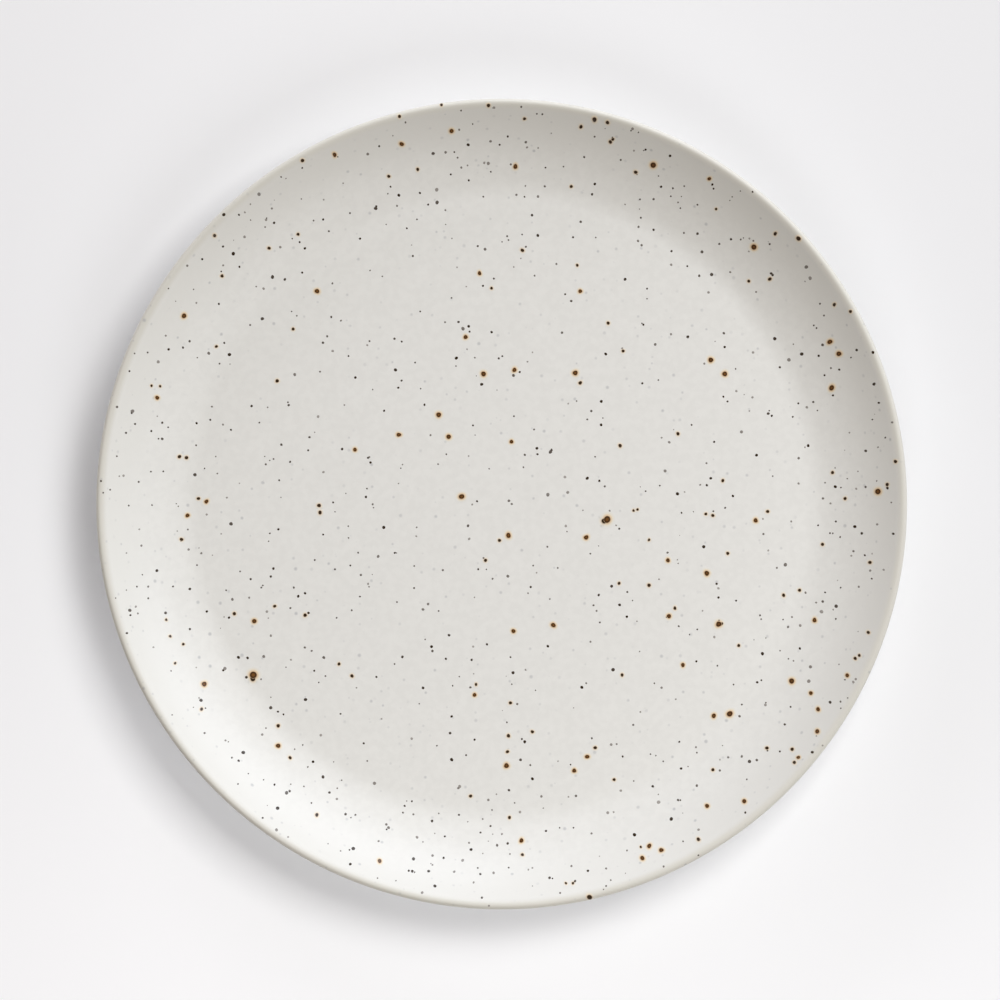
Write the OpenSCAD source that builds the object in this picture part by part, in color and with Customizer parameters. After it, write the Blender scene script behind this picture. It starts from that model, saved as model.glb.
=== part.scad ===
/* [Plate] */

// Across the rim
plate_diameter = 270; // [255:1:320]
// From the table to the top of the rim
plate_height = 25; // [21:0.5:32]
// Width of the wall and its knee, from the flat of the well to the rim
wall_width = 33.5; // [28:0.5:42]
// Thickness of the well with the glaze on both faces
well_thickness = 4.8; // [4:0.1:6.5]

/* [Wall] */

// Radius of the knee that turns the well into the wall
knee_radius = 23; // [12:1:28]
// Slope at which the knee runs into the wall, in degrees
knee_angle = 18; // [12:1:22]
// Radius of the rounded lip
lip_radius = 1.6; // [1.3:0.1:2.4]
// How far inside the edge of the well the back of the wall starts to rise
back_setback = 6.5; // [2:0.5:9]

/* [Foot] */

// Flat of the underside between the foot ring and the back of the wall
foot_setback = 7; // [4:0.5:20]
// Width of the foot ring
foot_width = 5; // [4:0.1:9]
// Height of the foot ring below the glazed underside
foot_height = 2.8; // [2:0.1:4]
// Rounding of the foot's lower edges
foot_round = 0.9; // [0.4:0.1:1.5]
// Fillet where the foot grows out of the underside
foot_fillet = 1.2; // [0.5:0.1:1.6]

/* [Glaze] */

// Thickness of the glaze
glaze_thickness = 0.5; // [0.3:0.05:0.8]
// Bare clay left between the foot's fillet and the glaze
glaze_margin = 1; // [0.5:0.1:2]

/* [Specks] */

// Size of the iron specks against the ones on the plate in the photograph
speck_scale = 1; // [0.6:0.05:1.3]
// Depth of the pocket that a speck melts into, as a share of the glaze
pocket_share = 0.7; // [0.55:0.05:0.85]
// Depth of the dimple in a speck's top, as a share of the glaze
dimple_share = 0.28; // [0.15:0.01:0.4]

/* [Hidden] */

$fn = 96;

// Points along each arc of the section
arc_steps = 12;

plate_radius = plate_diameter / 2;
well_radius = plate_radius - wall_width;
underside_radius = well_radius - back_setback;
foot_outside = underside_radius - foot_setback;
foot_inside = foot_outside - foot_width;
clay_underside = foot_height + glaze_thickness;
well_height = foot_height + well_thickness;

// The lip is a round bead that both faces of the wall run into
lip_centre = [plate_radius - lip_radius, plate_height - lip_radius];

// The knee starts level with the well
knee_centre = [well_radius, well_height + knee_radius];
knee_normal = [sin(knee_angle), -cos(knee_angle)];
knee_end = knee_centre + knee_radius * knee_normal;

// The inner face of the wall is the one arc that leaves the knee and meets the lip without a break
wall_run = lip_centre - knee_end;
wall_radius = (wall_run * wall_run - lip_radius * lip_radius) / (2 * (lip_radius - wall_run * knee_normal));
wall_centre = knee_end - wall_radius * knee_normal;
wall_slope = atan2(lip_centre.x - wall_centre.x, wall_centre.y - lip_centre.y);
wall_end = wall_centre.x + wall_radius * sin(wall_slope);

// The back of the wall is the one arc that leaves the flat underside and meets the lip without a break
back_run = lip_centre - [underside_radius, foot_height];
back_radius = (back_run * back_run - lip_radius * lip_radius) / (2 * (back_run.y - lip_radius));
back_centre = [underside_radius, foot_height + back_radius];
back_slope = atan2(lip_centre.x - back_centre.x, back_centre.y - lip_centre.y);

// Centre and radius of the plate in the photograph, in pixels
photo_centre_px = [501.2, 503.6];
photo_radius_px = 405.5;

// The large iron specks read by eye from the photograph: across, down and radius, in pixels
speck_pixels = [
  // In the well
  [607, 519, 4.2], [252, 675, 4.3], [719, 624, 3.4], [730, 714, 3.5], [725, 373, 3], [711, 359, 3],
  [707, 573, 3], [575, 372, 3], [483, 373, 3], [514, 369, 2.6], [461, 496, 3.2], [438, 414, 3],
  [448, 436, 2.8], [398, 434, 2.6], [508, 535, 3], [553, 625, 2.8], [513, 631, 2.5], [506, 766, 3],
  [586, 537, 2.8], [316, 290, 2.8], [253, 621, 2.7], [714, 716, 2.7], [465, 336, 2.5], [756, 520, 2.6],
  [587, 757, 2.5], [574, 771, 2.5], [669, 616, 2.6], [354, 449, 2.3], [511, 441, 2.3], [479, 272, 2.3],
  [580, 290, 2.3], [683, 665, 2.4], [668, 560, 2.4], [474, 695, 2.3], [205, 501, 2.4],
  // On the wall
  [754, 246, 3.5], [653, 164, 3.5], [878, 491, 3.4], [792, 681, 3.3], [832, 387, 3.2], [839, 353, 3],
  [830, 341, 3], [515, 165, 2.7], [183, 315, 3], [203, 684, 3], [277, 746, 2.8],
  [649, 846, 2.7], [661, 850, 2.7], [642, 858, 2.7], [744, 801, 2.8], [707, 806, 2.6], [817, 731, 2.8],
  [818, 709, 2.6], [334, 154, 2.6], [451, 130, 2.6], [401, 143, 2.6], [815, 620, 2.6], [521, 841, 2.6],
  [811, 693, 2.4], [379, 861, 2.4], [798, 757, 2.3], [709, 178, 2.3], [847, 675, 2.4],
  [156, 397, 2.4], [186, 515, 2.4]
];

// Points of an arc after its first, which is where the stretch before it ends
function arc(centre, radius, from, to) = [
  for (i = [1:arc_steps])
    let (angle = from + (to - from) * i / arc_steps)
      centre + radius * [cos(angle), sin(angle)]
];

function backwards(points) = [for (i = [len(points) - 1:-1:0]) points[i]];

// Half of the plate's outline from the middle of the well over the lip to the underside, a skin below the glaze
function outline(skin) = concat(
  [[0, well_height - skin], [well_radius, well_height - skin]],
  arc(knee_centre, knee_radius + skin, -90, knee_angle - 90),
  arc(wall_centre, wall_radius + skin, knee_angle - 90, wall_slope - 90),
  arc(lip_centre, lip_radius - skin, wall_slope + 90, back_slope - 90),
  arc(back_centre, back_radius - skin, back_slope - 90, -90)
);

// The foot ring from its outer fillet round to its inner one
foot_outline = concat(
  [[foot_outside + foot_fillet, clay_underside]],
  arc([foot_outside + foot_fillet, clay_underside - foot_fillet], foot_fillet, 90, 180),
  [[foot_outside, foot_round]],
  arc([foot_outside - foot_round, foot_round], foot_round, 0, -90),
  [[foot_inside + foot_round, 0]],
  arc([foot_inside + foot_round, foot_round], foot_round, -90, -180),
  [[foot_inside, clay_underside - foot_fillet]],
  arc([foot_inside - foot_fillet, clay_underside - foot_fillet], foot_fillet, 0, 90)
);

// Height and slope of the glazed face at a distance from the plate's axis
function face_height(r) =
  r < well_radius ? well_height
  : r < knee_end.x ? knee_centre.y - sqrt(pow(knee_radius, 2) - pow(r - knee_centre.x, 2))
  : r < wall_end ? wall_centre.y - sqrt(pow(wall_radius, 2) - pow(r - wall_centre.x, 2))
  : lip_centre.y + sqrt(pow(lip_radius, 2) - pow(r - lip_centre.x, 2));

function face_slope(r) =
  r < well_radius ? 0
  : r < knee_end.x ? asin((r - knee_centre.x) / knee_radius)
  : r < wall_end ? asin((r - wall_centre.x) / wall_radius)
  : asin((lip_centre.x - r) / lip_radius);

// From pixels of the photograph to the plate
px_size = plate_radius / photo_radius_px;
function speck_place(speck) = px_size * [speck.x - photo_centre_px.x, photo_centre_px.y - speck.y];
function speck_radius(speck) = px_size * speck_scale * speck.z;

// Puts something on the glazed face, square to it, at a speck's place
module on_face(speck) {
  place = speck_place(speck);
  r = norm(place);
  translate([place.x, place.y, face_height(r)])
    rotate([0, 0, atan2(place.y, place.x)])
      rotate([0, -face_slope(r), 0])
        children();
}

// The ball whose lowest cap is as wide as the speck and goes this deep below the face
module cap_ball(cap_radius, depth) {
  ball_radius = (pow(cap_radius, 2) + pow(depth, 2)) / (2 * depth);
  translate([0, 0, ball_radius - depth])
    sphere(ball_radius);
}

module stoneware_body() {
  color("tan")
    rotate_extrude()
      polygon(concat(outline(glaze_thickness), foot_outline, [[0, clay_underside]]));
}

module face_glaze() {
  glaze_end = foot_outside + foot_fillet + glaze_margin + glaze_thickness;
  color("ivory")
    difference() {
      rotate_extrude()
        polygon(concat(
          outline(0),
          [[glaze_end, foot_height]],
          arc([glaze_end, clay_underside], glaze_thickness, -90, -180),
          backwards(outline(glaze_thickness))
        ));
      for (speck = speck_pixels)
        on_face(speck)
          cap_ball(speck_radius(speck), pocket_share * glaze_thickness);
    }
}

module base_glaze() {
  glaze_end = foot_inside - foot_fillet - glaze_margin - glaze_thickness;
  color("ivory")
    rotate_extrude()
      polygon(concat(
        [[0, foot_height], [glaze_end, foot_height]],
        arc([glaze_end, clay_underside], glaze_thickness, -90, 0),
        [[0, clay_underside]]
      ));
}

module iron_specks() {
  color("saddlebrown")
    for (speck = speck_pixels)
      on_face(speck)
        difference() {
          cap_ball(speck_radius(speck), pocket_share * glaze_thickness);
          cap_ball(speck_radius(speck), dimple_share * glaze_thickness);
        }
}

stoneware_body();
face_glaze();
base_glaze();
iron_specks();
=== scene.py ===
import bisect
import math
import random

import bmesh
import bpy
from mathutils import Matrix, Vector
from mathutils.geometry import interpolate_bezier


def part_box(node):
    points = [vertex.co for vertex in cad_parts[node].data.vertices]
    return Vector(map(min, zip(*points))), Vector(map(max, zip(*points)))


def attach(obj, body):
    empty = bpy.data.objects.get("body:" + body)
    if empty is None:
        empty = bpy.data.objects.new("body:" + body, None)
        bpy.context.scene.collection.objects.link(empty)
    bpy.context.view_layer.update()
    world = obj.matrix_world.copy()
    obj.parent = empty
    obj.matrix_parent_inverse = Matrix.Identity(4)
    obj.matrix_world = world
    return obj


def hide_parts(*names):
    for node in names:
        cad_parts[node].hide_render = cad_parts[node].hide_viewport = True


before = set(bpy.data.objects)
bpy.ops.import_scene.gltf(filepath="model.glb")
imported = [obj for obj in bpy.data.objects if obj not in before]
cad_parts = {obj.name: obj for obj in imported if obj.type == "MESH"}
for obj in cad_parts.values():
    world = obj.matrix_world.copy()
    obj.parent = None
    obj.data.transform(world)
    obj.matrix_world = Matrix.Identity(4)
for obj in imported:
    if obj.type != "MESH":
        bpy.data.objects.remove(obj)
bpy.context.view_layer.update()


# Stoneware body
# One piece of buff clay, pressed to the coupe form and turned underneath so that a foot ring stands out.
# It is fired hard, and stays bare only on the foot and in a narrow band on each side of it.

mm = 0.001
plate_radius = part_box("face_glaze")[1].x
plate_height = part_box("face_glaze")[1].z
wall_width = 33.5 * mm
well_thickness = 4.8 * mm
knee_radius = 23 * mm
knee_angle = math.radians(18)
lip_radius = 1.6 * mm
lip_draw = 0.9 * mm
lip_inner_pull = 3.6 * mm
lip_outer_pull = 1.5 * mm
back_setback = 6.5 * mm
foot_setback = 7 * mm
foot_width = 5 * mm
foot_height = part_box("base_glaze")[0].z
foot_round = 0.9 * mm
foot_fillet = 1.2 * mm
glaze_thickness = 0.5 * mm

well_radius = plate_radius - wall_width
underside_radius = well_radius - back_setback
foot_outside = underside_radius - foot_setback
foot_inside = foot_outside - foot_width
clay_underside = foot_height + glaze_thickness
well_height = foot_height + well_thickness
straight_down = math.radians(-90)
straight_up = math.radians(90)

# The wall is the one arc that leaves the knee and meets the lip without a break, and so is its back
lip_centre = Vector((plate_radius - lip_radius, plate_height - lip_radius))
knee_centre = Vector((well_radius, well_height + knee_radius))
knee_normal = Vector((math.sin(knee_angle), -math.cos(knee_angle)))
knee_end = knee_centre + knee_radius * knee_normal
wall_run = lip_centre - knee_end
wall_radius = (wall_run.length_squared - lip_radius ** 2) / (2 * (lip_radius - wall_run.dot(knee_normal)))
wall_centre = knee_end - wall_radius * knee_normal
wall_slope = math.atan2(lip_centre.x - wall_centre.x, wall_centre.y - lip_centre.y)
wall_end = wall_centre.x + wall_radius * math.sin(wall_slope)
draw_slope = math.asin((wall_end - lip_draw - wall_centre.x) / wall_radius)
back_run = lip_centre - Vector((underside_radius, foot_height))
back_radius = (back_run.length_squared - lip_radius ** 2) / (2 * (back_run.y - lip_radius))
back_centre = Vector((underside_radius, foot_height + back_radius))
back_slope = math.atan2(lip_centre.x - back_centre.x, back_centre.y - lip_centre.y)


def arc(centre, radius, start, end, steps):
    """Points of an arc after its first, which is where the stretch before it ends."""
    angles = [start + (end - start) * i / steps for i in range(1, steps + 1)]
    return [(centre[0] + radius * math.cos(a), centre[1] + radius * math.sin(a)) for a in angles]


def drawn_lip(skin, steps):
    """Points of the lip's upper half after its first, drawn in softly from the wall to the plate's edge."""
    along = Vector((math.cos(draw_slope), math.sin(draw_slope)))
    start = wall_centre + (wall_radius + skin) * Vector((along.y, -along.x))
    end = Vector((plate_radius - skin, lip_centre.y))
    inner = start + (lip_inner_pull - skin) * along
    outer = end + Vector((0, lip_outer_pull - skin))
    return [tuple(point) for point in interpolate_bezier(start, inner, outer, end, steps + 1)[1:]]


def plate_outline(skin, fine):
    """Half of the plate's section from the well over the lip to the underside, a skin below the glaze."""
    knee_turn = straight_down + knee_angle
    wall_turn = straight_down + draw_slope
    back_turn = straight_down + back_slope
    well = [(well_radius * i / (3 * fine), well_height - skin) for i in range(3 * fine + 1)]
    knee = arc(knee_centre, knee_radius + skin, straight_down, knee_turn, fine)
    wall = arc(wall_centre, wall_radius + skin, knee_turn, wall_turn, 4 * fine)
    lip = drawn_lip(skin, 3 * fine) + arc(lip_centre, lip_radius - skin, 0, back_turn, fine)
    back = arc(back_centre, back_radius - skin, back_turn, straight_down, 4 * fine)
    return well + knee + wall + lip + back


def placed(name, bm):
    """A smooth piece in the scene from a mesh under construction."""
    bmesh.ops.recalc_face_normals(bm, faces=bm.faces)
    mesh = bpy.data.meshes.new(name)
    bm.to_mesh(mesh)
    bm.free()
    mesh.shade_smooth()
    mesh.set_sharp_from_angle(angle=math.radians(35))
    piece = bpy.data.objects.new(name, mesh)
    bpy.context.scene.collection.objects.link(piece)
    return piece


def close_rings(bm, rings, around):
    """Faces between rings of points, where a ring may be a single point."""
    for ring, after in zip(rings, rings[1:]):
        for k in range(around):
            near = [ring[k % len(ring)], ring[(k + 1) % len(ring)]]
            far = [after[(k + 1) % len(after)], after[k % len(after)]]
            bm.faces.new(dict.fromkeys(near + far))


def turned(name, section, around=360):
    """A closed piece turned about the plate's axis from a section that starts and ends on it."""
    bm = bmesh.new()
    rings = []
    for r, z in section:
        steps = around if r > 0 else 1
        angles = [2 * math.pi * k / steps for k in range(steps)]
        rings.append([bm.verts.new((r * math.cos(a), r * math.sin(a), z)) for a in angles])
    close_rings(bm, rings, around)
    return placed(name, bm)


def node(tree, kind, inputs=None, **settings):
    """A shader node with its settings, and its inputs set to values or linked to other nodes' outputs."""
    made = tree.nodes.new(kind)
    for name, value in settings.items():
        setattr(made, name, value)
    for name, value in (inputs or {}).items():
        if isinstance(value, bpy.types.NodeSocket):
            tree.links.new(value, made.inputs[name])
        else:
            made.inputs[name].default_value = value
    return made


def new_finish(name):
    """An empty material with its tree, its shader and the place on the plate that its patterns follow."""
    material = bpy.data.materials.new(name)
    material.use_nodes = True
    tree = material.node_tree
    place = node(tree, "ShaderNodeTexCoord").outputs["Object"]
    return material, tree, tree.nodes["Principled BSDF"], place


def layer(tree, share, under, over):
    """Colour of a layer that covers a share of the one under it."""
    return node(tree, "ShaderNodeMix", {0: share, 6: under, 7: over}, data_type="RGBA").outputs[2]


def sums(tree, how, *values, clamp=False):
    """One step of arithmetic on shader values."""
    return node(tree, "ShaderNodeMath", dict(enumerate(values)), operation=how, use_clamp=clamp).outputs[0]


def ease(tree, value, start, end, first=0.0, last=1.0):
    """A value that eases from the first number to the last between a start and an end."""
    limits = {"Value": value, "From Min": start, "From Max": end, "To Min": first, "To Max": last}
    return node(tree, "ShaderNodeMapRange", limits, interpolation_type="SMOOTHSTEP").outputs["Result"]


def noise(tree, place, size, detail=3.0, roughness=0.5):
    """Soft noise with lumps of about this size."""
    grain = {"Vector": place, "Scale": 1 / size, "Detail": detail, "Roughness": roughness}
    return node(tree, "ShaderNodeTexNoise", grain).outputs["Fac"]


def from_axis(tree, place):
    """Distance from the plate's axis."""
    parts = node(tree, "ShaderNodeSeparateXYZ", {0: place})
    in_plan = node(tree, "ShaderNodeCombineXYZ", {"X": parts.outputs["X"], "Y": parts.outputs["Y"]})
    return node(tree, "ShaderNodeVectorMath", {0: in_plan.outputs[0]}, operation="LENGTH").outputs["Value"]


def add_relief(tree, shader, height, strength, depth):
    """Fine relief on a finish."""
    bump = node(tree, "ShaderNodeBump", {"Height": height, "Strength": strength, "Distance": depth})
    tree.links.new(bump.outputs["Normal"], shader.inputs["Normal"])


clay_brown = (0.52, 0.42, 0.30, 1)
clay_buff = (0.66, 0.56, 0.43, 1)
clay_pores = (0.38, 0.28, 0.18, 1)
grit_brown = (0.07, 0.04, 0.025, 1)
clay_cloud_size = 17 * mm
clay_grain_size = 1.1 * mm
clay_grain_depth = 0.08 * mm
grit_spacing = 1.9 * mm
turning_step = 0.45 * mm
pore_share = 0.45
grit_share = 0.85
grit_edge_shares = (0.12, 0.22)
turning_share = 0.15
clay_relief_strength = 0.6

bare_clay, tree, shader, place = new_finish("bare_stoneware")
grain = noise(tree, place, clay_grain_size, detail=6.0, roughness=0.65)
clay = layer(tree, noise(tree, place, clay_cloud_size), clay_brown, clay_buff)
clay = layer(tree, sums(tree, "MULTIPLY", grain, pore_share), clay, clay_pores)
grit = node(tree, "ShaderNodeTexVoronoi", {"Vector": place, "Scale": 1 / grit_spacing}).outputs["Distance"]
clay = layer(tree, ease(tree, grit, *grit_edge_shares, first=grit_share, last=0.0), clay, grit_brown)
tree.links.new(clay, shader.inputs["Base Color"])
shader.inputs["Roughness"].default_value = 0.88
shader.inputs["Specular IOR Level"].default_value = 0.3
turning = sums(tree, "SINE", sums(tree, "MULTIPLY", from_axis(tree, place), 2 * math.pi / turning_step))
turned_grain = sums(tree, "MULTIPLY_ADD", turning, turning_share, grain)
add_relief(tree, shader, turned_grain, clay_relief_strength, clay_grain_depth)

foot_steps = 8
outer_fillet_centre = (foot_outside + foot_fillet, clay_underside - foot_fillet)
inner_fillet_centre = (foot_inside - foot_fillet, clay_underside - foot_fillet)
outer_round_centre = (foot_outside - foot_round, foot_round)
inner_round_centre = (foot_inside + foot_round, foot_round)
clay_section = plate_outline(glaze_thickness, 4)
clay_section += [(foot_outside + foot_fillet, clay_underside)]
clay_section += arc(outer_fillet_centre, foot_fillet, straight_up, math.radians(180), foot_steps)
clay_section += [(foot_outside, foot_round)]
clay_section += arc(outer_round_centre, foot_round, 0, straight_down, foot_steps)
clay_section += [(foot_inside + foot_round, 0)]
clay_section += arc(inner_round_centre, foot_round, straight_down, math.radians(-180), foot_steps)
clay_section += [(foot_inside, clay_underside - foot_fillet)]
clay_section += arc(inner_fillet_centre, foot_fillet, 0, straight_up, foot_steps)
clay_section += [(0, clay_underside)]
body = turned("turned_stoneware_body", clay_section)
body.data.materials.append(bare_clay)
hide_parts("stoneware_body")
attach(body, "root")


# Face glaze
# Satin white glaze, poured over the well, the wall, the lip and the back, and wiped off short of the foot.
# It is faintly clouded and flecked, with fine mineral grains buried in it as soft grey dots,
# and it runs thin and warm along the lip.

glaze_margin = 1 * mm
thin_from = 113 * mm
glaze_grey = (0.715, 0.708, 0.668, 1)
glaze_white = (0.755, 0.748, 0.708, 1)
glaze_fleck = (0.640, 0.632, 0.596, 1)
thin_glaze = (0.712, 0.703, 0.660, 1)
lip_glaze = (0.630, 0.612, 0.548, 1)
grain_grey = (0.30, 0.31, 0.33, 1)
glaze_cloud_size = 8 * mm
fleck_size = 2.4 * mm
fleck_share = 0.22
fleck_edges = (0.35, 0.65)
grain_spacing = 3.6 * mm
grain_radius = 0.56 * mm
grain_softness = 0.5 * mm
grain_share = 0.52
glaze_roughness = 0.27
cloud_roughness = 0.10
ripple_size = 1.4 * mm
ripple_depth = 0.03 * mm
ripple_strength = 0.25


def buried_grains(tree, place):
    """Share of soft round dots, one in each cell of the glaze, of random size and strength."""
    cells = node(tree, "ShaderNodeTexVoronoi", {"Vector": place, "Scale": 1 / grain_spacing})
    chance = node(tree, "ShaderNodeSeparateColor", {"Color": cells.outputs["Color"]})
    largest = grain_radius / grain_spacing
    size = sums(tree, "MULTIPLY_ADD", chance.outputs["Green"], 0.6 * largest, 0.4 * largest)
    inside = sums(tree, "SUBTRACT", size, cells.outputs["Distance"])
    dot = sums(tree, "MULTIPLY_ADD", inside, grain_spacing / grain_softness, 0.5, clamp=True)
    return sums(tree, "MULTIPLY", dot, chance.outputs["Red"])


def white_glaze(tree, place):
    """The glaze's colour, roughness and ripple."""
    cloud = noise(tree, place, glaze_cloud_size, detail=4.0, roughness=0.6)
    colour = layer(tree, cloud, glaze_grey, glaze_white)
    fleck = noise(tree, place, fleck_size, detail=2.0)
    colour = layer(tree, ease(tree, fleck, *fleck_edges, last=fleck_share), colour, glaze_fleck)
    reach = from_axis(tree, place)
    colour = layer(tree, ease(tree, reach, thin_from, wall_end), colour, thin_glaze)
    colour = layer(tree, ease(tree, reach, wall_end - lip_draw, lip_centre.x), colour, lip_glaze)
    grains = sums(tree, "MULTIPLY", buried_grains(tree, place), grain_share)
    colour = layer(tree, grains, colour, grain_grey)
    sheen = sums(tree, "MULTIPLY_ADD", cloud, cloud_roughness, glaze_roughness)
    return colour, sheen, noise(tree, place, ripple_size, roughness=0.55)


glaze, tree, shader, place = new_finish("satin_white_glaze")
colour, sheen, ripple = white_glaze(tree, place)
tree.links.new(colour, shader.inputs["Base Color"])
tree.links.new(sheen, shader.inputs["Roughness"])
add_relief(tree, shader, ripple, ripple_strength, ripple_depth)

edge_steps = 6
face_end = foot_outside + foot_fillet + glaze_margin + glaze_thickness
face_outline = plate_outline(0, 9)
face_section = face_outline + [(face_end, foot_height)]
face_end_centre = (face_end, clay_underside)
face_section += arc(face_end_centre, glaze_thickness, straight_down, math.radians(-180), edge_steps)
face_section += plate_outline(glaze_thickness, 4)[::-1]
face = turned("poured_face_glaze", face_section)
face.data.materials.append(glaze)
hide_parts("face_glaze")
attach(face, "root")


# Base glaze
# The disc of the same glaze inside the foot ring, poured separately and wiped back from the ring.
# Its edge is rounded, as melted glaze draws back from bare clay.

base_steps = 12
base_end = foot_inside - foot_fillet - glaze_margin - glaze_thickness
base_section = [(base_end * i / base_steps, foot_height) for i in range(base_steps + 1)]
base_section += arc((base_end, clay_underside), glaze_thickness, straight_down, 0, edge_steps)
base_section += [(0, clay_underside)]
base = turned("poured_base_glaze", base_section)
base.data.materials.append(glaze)
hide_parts("base_glaze")
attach(base, "root")


# Iron specks
# Grains of iron in the clay that melt through the glaze and set as dished drops of brown glass in a halo.
# The large ones lie where the solids have them, the middling ones as on the plate in the photograph,
# and fine dark pepper is strewn over all the glaze.

photo_centre_px = Vector((501.7, 504.1))
photo_radius_px = 405.45
half_px = 0.5
px_size = plate_radius / photo_radius_px
middling_specks_px = [
    # On the lip: across, down and radius
    (594, 119, 2.8), (589, 896.5, 3), (488, 105, 2.2), (441, 104.5, 1.8), (607, 122, 2.2), (798, 238, 2.8),
    # Joined to large specks
    (604, 520.5, 3.3), (251.5, 678.8, 3.2), (721.8, 623.7, 2),
    # In the well
    (580, 382, 2.2), (499, 540, 2), (508, 736, 2.2), (507, 752, 2), (318, 505, 2.3), (319, 512, 2.3),
    (304, 615, 2.2), (620, 445, 2.2), (522, 249, 2.2), (491, 287, 1.8), (577, 264, 1.8), (608, 322, 2),
    (623, 350, 1.9), (768, 511, 2), (713, 515, 2), (706, 513.5, 1.8), (595, 748, 2.1), (675, 608, 2),
    (649, 585, 2.2), (619, 583, 1.9), (475.5, 684.5, 1.8), (485, 560, 2), (276, 380, 2.2), (292, 328, 1.9),
    (351, 676, 2.1), (338, 664, 1.9), (678, 433, 2.1), (723, 480, 2), (784, 595, 2.1), (728, 553, 2),
    (739, 645.5, 1.9), (622, 675, 2), (510, 703, 2), (532, 732, 2), (614, 780, 1.9), (713, 770, 2),
    (470, 796.5, 2), (233, 613.5, 2.1), (273.5, 606, 1.9), (633.5, 510, 1.6), (637.5, 509, 1.6),
    (649, 539.5, 1.7),
    # On the wall
    (580.5, 126, 2.2), (610, 141, 2.2), (612.5, 138.5, 1.8), (635.5, 171, 2.2), (277, 726, 2.2),
    (289, 758, 2), (316, 815, 2.2), (698, 839, 2.2), (794, 762, 2), (792, 749, 2.1), (767, 748, 2.1),
    (775, 233, 2.2), (770, 278, 2.2), (302, 160, 2.2), (399, 116, 2), (388, 175, 2), (417, 168, 2),
    (524, 118, 1.9), (571, 185, 1.9), (868, 632, 2), (855, 658, 2), (859, 655, 1.8), (214, 235, 2.1),
    (221, 275, 2), (268, 247, 2), (297, 233, 1.9), (197, 498, 2), (180, 539, 2.1), (178, 456, 2.2),
    (185, 457, 2.2), (522, 855, 1.9), (509, 818, 2), (834, 304, 2.1), (850, 311, 1.9), (845.5, 498, 2),
    (887, 484, 2.1), (895, 461, 2.1), (823, 544, 2), (870, 562, 2.1), (800, 590, 2), (833, 472, 2),
    (215, 345.5, 1.8), (150.5, 385, 1.6), (159, 385.5, 1.6), (165, 619.5, 1.6), (169, 636, 1.7),
    (182, 644, 1.7), (174, 663, 1.6), (200.5, 709, 2), (716, 208, 1.6), (749, 280, 1.9),
    (572.5, 883, 1.6), (565.5, 883, 1.5), (640.5, 847, 1.5),
]
# Rings of a drop: distance from its middle and height over the glaze, both as shares of its radius
drop_ring_shares = [(0, 0.075), (0.35, 0.078), (0.6, 0.086), (0.78, 0.09), (0.92, 0.04), (1.05, 0.02),
                    (1.4, 0.014), (1.8, 0.009), (2.2, 0.005), (2.55, -0.03)]
pepper_ring_shares = [(0, 0.06), (0.6, 0.05), (1, -0.04)]
large_sides = 24
middling_sides = 16
pepper_sides = 10
large_iron = 1
middling_iron = 0.5
pepper_iron = 0
drop_depth = 0.3 * mm
most_oval_share = 0.12
most_bulge_share = 0.06
pepper_radius = 0.43 * mm
pepper_largest = 0.75 * mm
pepper_spread = 0.30
pepper_from_edge = 1 * mm
back_pepper_from_edge = 3 * mm
# How many specks of pepper, from where to where off the axis, and whether they lie beneath the plate
pepper_fields = [
    (420, 0, well_radius, False),
    (480, well_radius, wall_end, False),
    (14, wall_end, plate_radius - pepper_from_edge, False),
    (480, underside_radius, plate_radius - back_pepper_from_edge, True),
    (220, 0, base_end - pepper_from_edge, True),
]
# The glaze's skin from the plate's axis to just short of its edge
plate_edge = face_outline.index(max(face_outline))
skin_above = face_outline[:plate_edge + 1]
skin_beneath = [(0, foot_height)] + face_outline[plate_edge:][::-1]
short_of_edge = 0.02 * mm
chance = random.Random(11)


def glaze_skin(x, y, beneath):
    """Point and outward normal of the glaze's skin above or beneath a place in plan."""
    line = skin_beneath if beneath else skin_above
    r = min(math.hypot(x, y), plate_radius - short_of_edge)
    ahead = max(bisect.bisect(line, (r,)), 1)
    (r_before, z_before), (r_ahead, z_ahead) = line[ahead - 1], line[ahead]
    run = r_ahead - r_before
    rise = z_ahead - z_before
    side = Vector((x, y, 0)).normalized()
    up = Vector((0, 0, 1))
    point = r * side + (z_before + rise * (r - r_before) / run) * up
    outward = (run * up - rise * side).normalized()
    return point, -outward if beneath else outward


def add_drop(bm, x, y, radius, ring_shares, around, iron, beneath=False):
    """A closed drop of iron glass on the glaze's skin, a little out of round and longer down a slope."""
    marks = bm.verts.layers.float_color["spot"]
    oval = chance.uniform(0, most_oval_share)
    bulge = chance.uniform(0, most_bulge_share)
    turn = chance.uniform(0, 6)
    tone = chance.random()
    rings = []
    for share, lift in ring_shares:
        steps = around if share else 1
        rings.append([])
        for k in range(steps):
            angle = 2 * math.pi * k / steps
            out_of_round = 1 + oval * math.cos(2 * (angle - turn)) + bulge * math.cos(3 * angle + turn)
            reach = radius * share * out_of_round
            point, outward = glaze_skin(x + reach * math.cos(angle), y + reach * math.sin(angle), beneath)
            vert = bm.verts.new(point + lift * radius * outward)
            vert[marks] = (share, tone, iron, 1)
            rings[-1].append(vert)
    middle, outward = glaze_skin(x, y, beneath)
    root = bm.verts.new(middle - min(drop_depth, radius / 2) * outward)
    root[marks] = (ring_shares[-1][0], tone, iron, 1)
    close_rings(bm, rings + [[root]], around)


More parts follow.
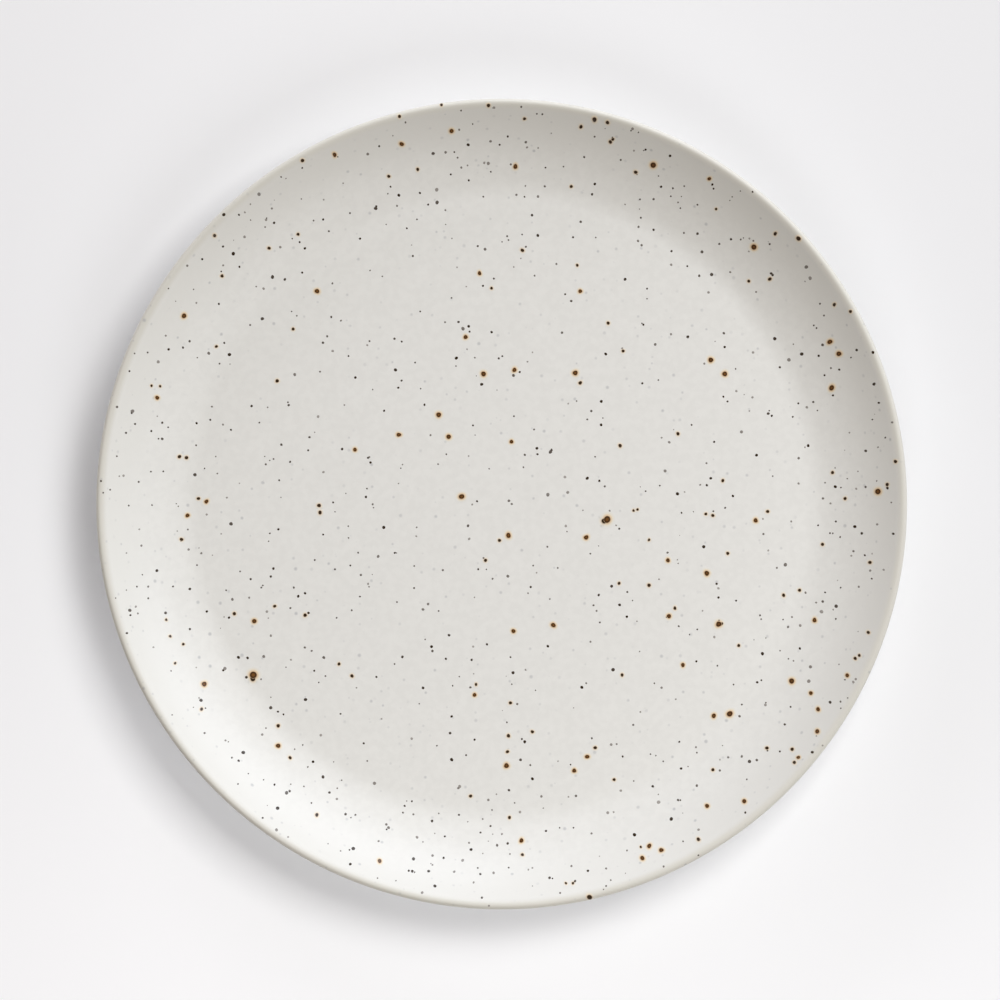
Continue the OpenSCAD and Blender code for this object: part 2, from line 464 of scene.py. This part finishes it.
def speck_places(node_name):
    """Middle and radius, in plan, of each separate speck of a node of the frame."""
    bm = bmesh.new()
    bm.from_mesh(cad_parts[node_name].data)
    bmesh.ops.remove_doubles(bm, verts=bm.verts, dist=0.001 * mm)
    left = set(bm.verts)
    while left:
        island = set()
        border = {left.pop()}
        while border:
            island |= border
            border = {edge.other_vert(vert) for vert in border for edge in vert.link_edges} - island
        left -= island
        xs = [vert.co.x for vert in island]
        ys = [vert.co.y for vert in island]
        radius = max(max(xs) - min(xs), max(ys) - min(ys)) / 2
        yield (min(xs) + max(xs)) / 2, (min(ys) + max(ys)) / 2, radius
    bm.free()


def strewn(count, inner, outer):
    """Random places in plan, spread evenly over a ring."""
    for _ in range(count):
        r = math.sqrt(chance.uniform(inner ** 2, outer ** 2))
        angle = chance.uniform(0, 2 * math.pi)
        yield r * math.cos(angle), r * math.sin(angle)


bm = bmesh.new()
bm.verts.layers.float_color.new("spot")
for x, y, radius in sorted(speck_places("iron_specks")):
    add_drop(bm, x, y, radius, drop_ring_shares, large_sides, large_iron)
for across_px, down_px, radius_px in middling_specks_px:
    x = px_size * (across_px + half_px - photo_centre_px.x)
    y = px_size * (photo_centre_px.y - half_px - down_px)
    add_drop(bm, x, y, px_size * radius_px, drop_ring_shares, middling_sides, middling_iron)
for count, inner, outer, beneath in pepper_fields:
    for x, y in strewn(count, inner, outer):
        radius = min(chance.lognormvariate(math.log(pepper_radius), pepper_spread), pepper_largest)
        add_drop(bm, x, y, radius, pepper_ring_shares, pepper_sides, pepper_iron, beneath)

halo_tan = (0.755, 0.655, 0.470, 1)
halo_brown = (0.560, 0.310, 0.120, 1)
drop_brown = (0.165, 0.068, 0.015, 1)
drop_rim = (0.055, 0.023, 0.007, 1)
drop_dark = (0.045, 0.020, 0.008, 1)
middling_brown = (0.034, 0.019, 0.009, 1)
pepper_dark = (0.036, 0.022, 0.012, 1)
pepper_pale = (0.345, 0.325, 0.295, 1)
# Where the colours of a drop meet, as shares of its radius
middle_shares = (0.2, 0.6)
core_edge_shares = (0.70, 0.92)
gloss_edge_shares = (0.8, 1.1)
brown_halo_shares = (0.8, 1.45)
tan_halo_shares = (0.6, 2.1)
brown_halo_strength = 0.55
middling_halo_strength = 0.6
darkened_share = 0.5
pale_power = 2.5
drop_roughness = 0.15
halo_roughness = 0.32

iron_glass, tree, shader, place = new_finish("iron_glass")
colour, _, ripple = white_glaze(tree, place)
marks = node(tree, "ShaderNodeAttribute", attribute_name="spot").outputs["Color"]
from_middle, tone, iron = node(tree, "ShaderNodeSeparateColor", {0: marks}).outputs
strength = ease(tree, iron, middling_iron, large_iron, first=middling_halo_strength)
tan_share = ease(tree, from_middle, *tan_halo_shares, first=1.0, last=0.0)
brown_share = ease(tree, from_middle, *brown_halo_shares, first=brown_halo_strength, last=0.0)
colour = layer(tree, sums(tree, "MULTIPLY", tan_share, strength), colour, halo_tan)
colour = layer(tree, sums(tree, "MULTIPLY", brown_share, strength), colour, halo_brown)
large = layer(tree, ease(tree, from_middle, *middle_shares), drop_brown, drop_rim)
large = layer(tree, sums(tree, "MULTIPLY", tone, darkened_share), large, drop_dark)
pepper = layer(tree, sums(tree, "POWER", tone, pale_power), pepper_dark, pepper_pale)
core = layer(tree, ease(tree, iron, pepper_iron, middling_iron), pepper, middling_brown)
core = layer(tree, ease(tree, iron, middling_iron, large_iron), core, large)
core_share = ease(tree, from_middle, *core_edge_shares, first=1.0, last=0.0)
pepper_share = ease(tree, iron, pepper_iron, middling_iron / 2, first=1.0, last=0.0)
colour = layer(tree, sums(tree, "MAXIMUM", core_share, pepper_share), colour, core)
tree.links.new(colour, shader.inputs["Base Color"])
sheen = ease(tree, from_middle, *gloss_edge_shares, first=drop_roughness, last=halo_roughness)
tree.links.new(sheen, shader.inputs["Roughness"])
add_relief(tree, shader, ripple, ripple_strength, ripple_depth)
specks = placed("iron_specks_in_the_glaze", bm)
specks.data.materials.append(iron_glass)
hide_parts("iron_specks")
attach(specks, "root")


# Floor, lights and camera
# A sheet of white paper under the plate, painted a little brighter to the front and the left as painted
# light, with a camera above.
# A soft key lamp stands high at the upper right and a broad window low beside it. Two weak fills stand in
# front and at the upper left, and the room adds a faint warm light from all round.

floor_size = 3
corners = [(-1, -1), (1, -1), (1, 1), (-1, 1)]
floor_mesh = bpy.data.meshes.new("floor")
floor_mesh.from_pydata([(floor_size * x, floor_size * y, 0) for x, y in corners], [], [(0, 1, 2, 3)])
floor = bpy.data.objects.new("floor", floor_mesh)
bpy.context.scene.collection.objects.link(floor)
# Painted light and shade: the paper's colour is lighter to the front and the left and darker to the back
# and the right, to shape how bright it shows under the lamps.
front_left_paper_painted_light = (0.955, 0.955, 0.955, 1)
front_right_paper_painted_light = (0.865, 0.865, 0.865, 1)
back_left_paper_painted_light = (0.840, 0.840, 0.840, 1)
back_right_paper_painted_light = (0.770, 0.770, 0.770, 1)
# Where the painted light on the paper starts and stops changing
paper_left = -50 * mm
paper_right = 220 * mm
paper_front = -200 * mm
paper_back = 60 * mm
paper, tree, shader, place = new_finish("white_paper")
across, behind, _ = node(tree, "ShaderNodeSeparateXYZ", {0: place}).outputs
to_the_right = ease(tree, across, paper_left, paper_right)
front_paper_painted_light = layer(tree, to_the_right, front_left_paper_painted_light, front_right_paper_painted_light)
back_paper_painted_light = layer(tree, to_the_right, back_left_paper_painted_light, back_right_paper_painted_light)
paper_painted_light_colour = layer(tree, ease(tree, behind, paper_front, paper_back), front_paper_painted_light, back_paper_painted_light)
tree.links.new(paper_painted_light_colour, shader.inputs["Base Color"])
shader.inputs["Roughness"].default_value = 0.9
shader.inputs["Specular IOR Level"].default_value = 0.0
floor_mesh.materials.append(paper)


def soft_lamp(name, turn, lift, distance, width, height, power,
              colour=(1, 1, 1), shadow=True, mirrored=False):
    """A flat lamp that faces the plate from a compass turn and a height, both in degrees."""
    lamp = bpy.data.lights.new(name, "AREA")
    lamp.shape = "RECTANGLE"
    lamp.size = width
    lamp.size_y = height
    lamp.energy = power
    lamp.color = colour
    lamp.use_shadow = shadow
    holder = bpy.data.objects.new(name, lamp)
    turn = math.radians(turn)
    lift = math.radians(lift)
    away = Vector((math.cos(turn) * math.cos(lift), math.sin(turn) * math.cos(lift), math.sin(lift)))
    holder.location = distance * away
    holder.rotation_euler = away.to_track_quat("Z", "Y").to_euler()
    holder.visible_camera = False
    holder.visible_glossy = mirrored
    bpy.context.scene.collection.objects.link(holder)


soft_lamp("key_lamp", turn=45, lift=62, distance=2.5, width=1.2, height=1.2, power=33.5)
soft_lamp("window", turn=55, lift=24, distance=2.5, width=3.6, height=1.6, power=42,
          colour=(0.82, 0.885, 1), shadow=False, mirrored=True)
soft_lamp("front_fill", turn=290, lift=46, distance=0.8, width=0.4, height=0.4, power=1.78,
          colour=(0.94, 0.965, 1))
soft_lamp("left_fill", turn=112, lift=9, distance=2.5, width=1.2, height=1.2, power=29,
          colour=(0.895, 0.915, 1))

world = bpy.data.worlds.new("studio")
world.use_nodes = True
room_light = world.node_tree.nodes["Background"]
room_light.inputs["Color"].default_value = (1.0, 0.82, 0.68, 1)
room_light.inputs["Strength"].default_value = 0.183
bpy.context.scene.world = world

photo_across_px = 1000
camera_height = 5
camera = bpy.data.cameras.new("overhead_camera")
camera.sensor_width = 36
camera.lens = camera.sensor_width * (camera_height - lip_centre.y) / (photo_across_px * px_size)
viewer = bpy.data.objects.new("overhead_camera", camera)
viewer.location = ((photo_across_px / 2 - photo_centre_px.x) * px_size,
                   (photo_centre_px.y - photo_across_px / 2) * px_size, camera_height)
bpy.context.scene.collection.objects.link(viewer)
bpy.context.scene.camera = viewer
bpy.context.scene.view_settings.view_transform = "Standard"
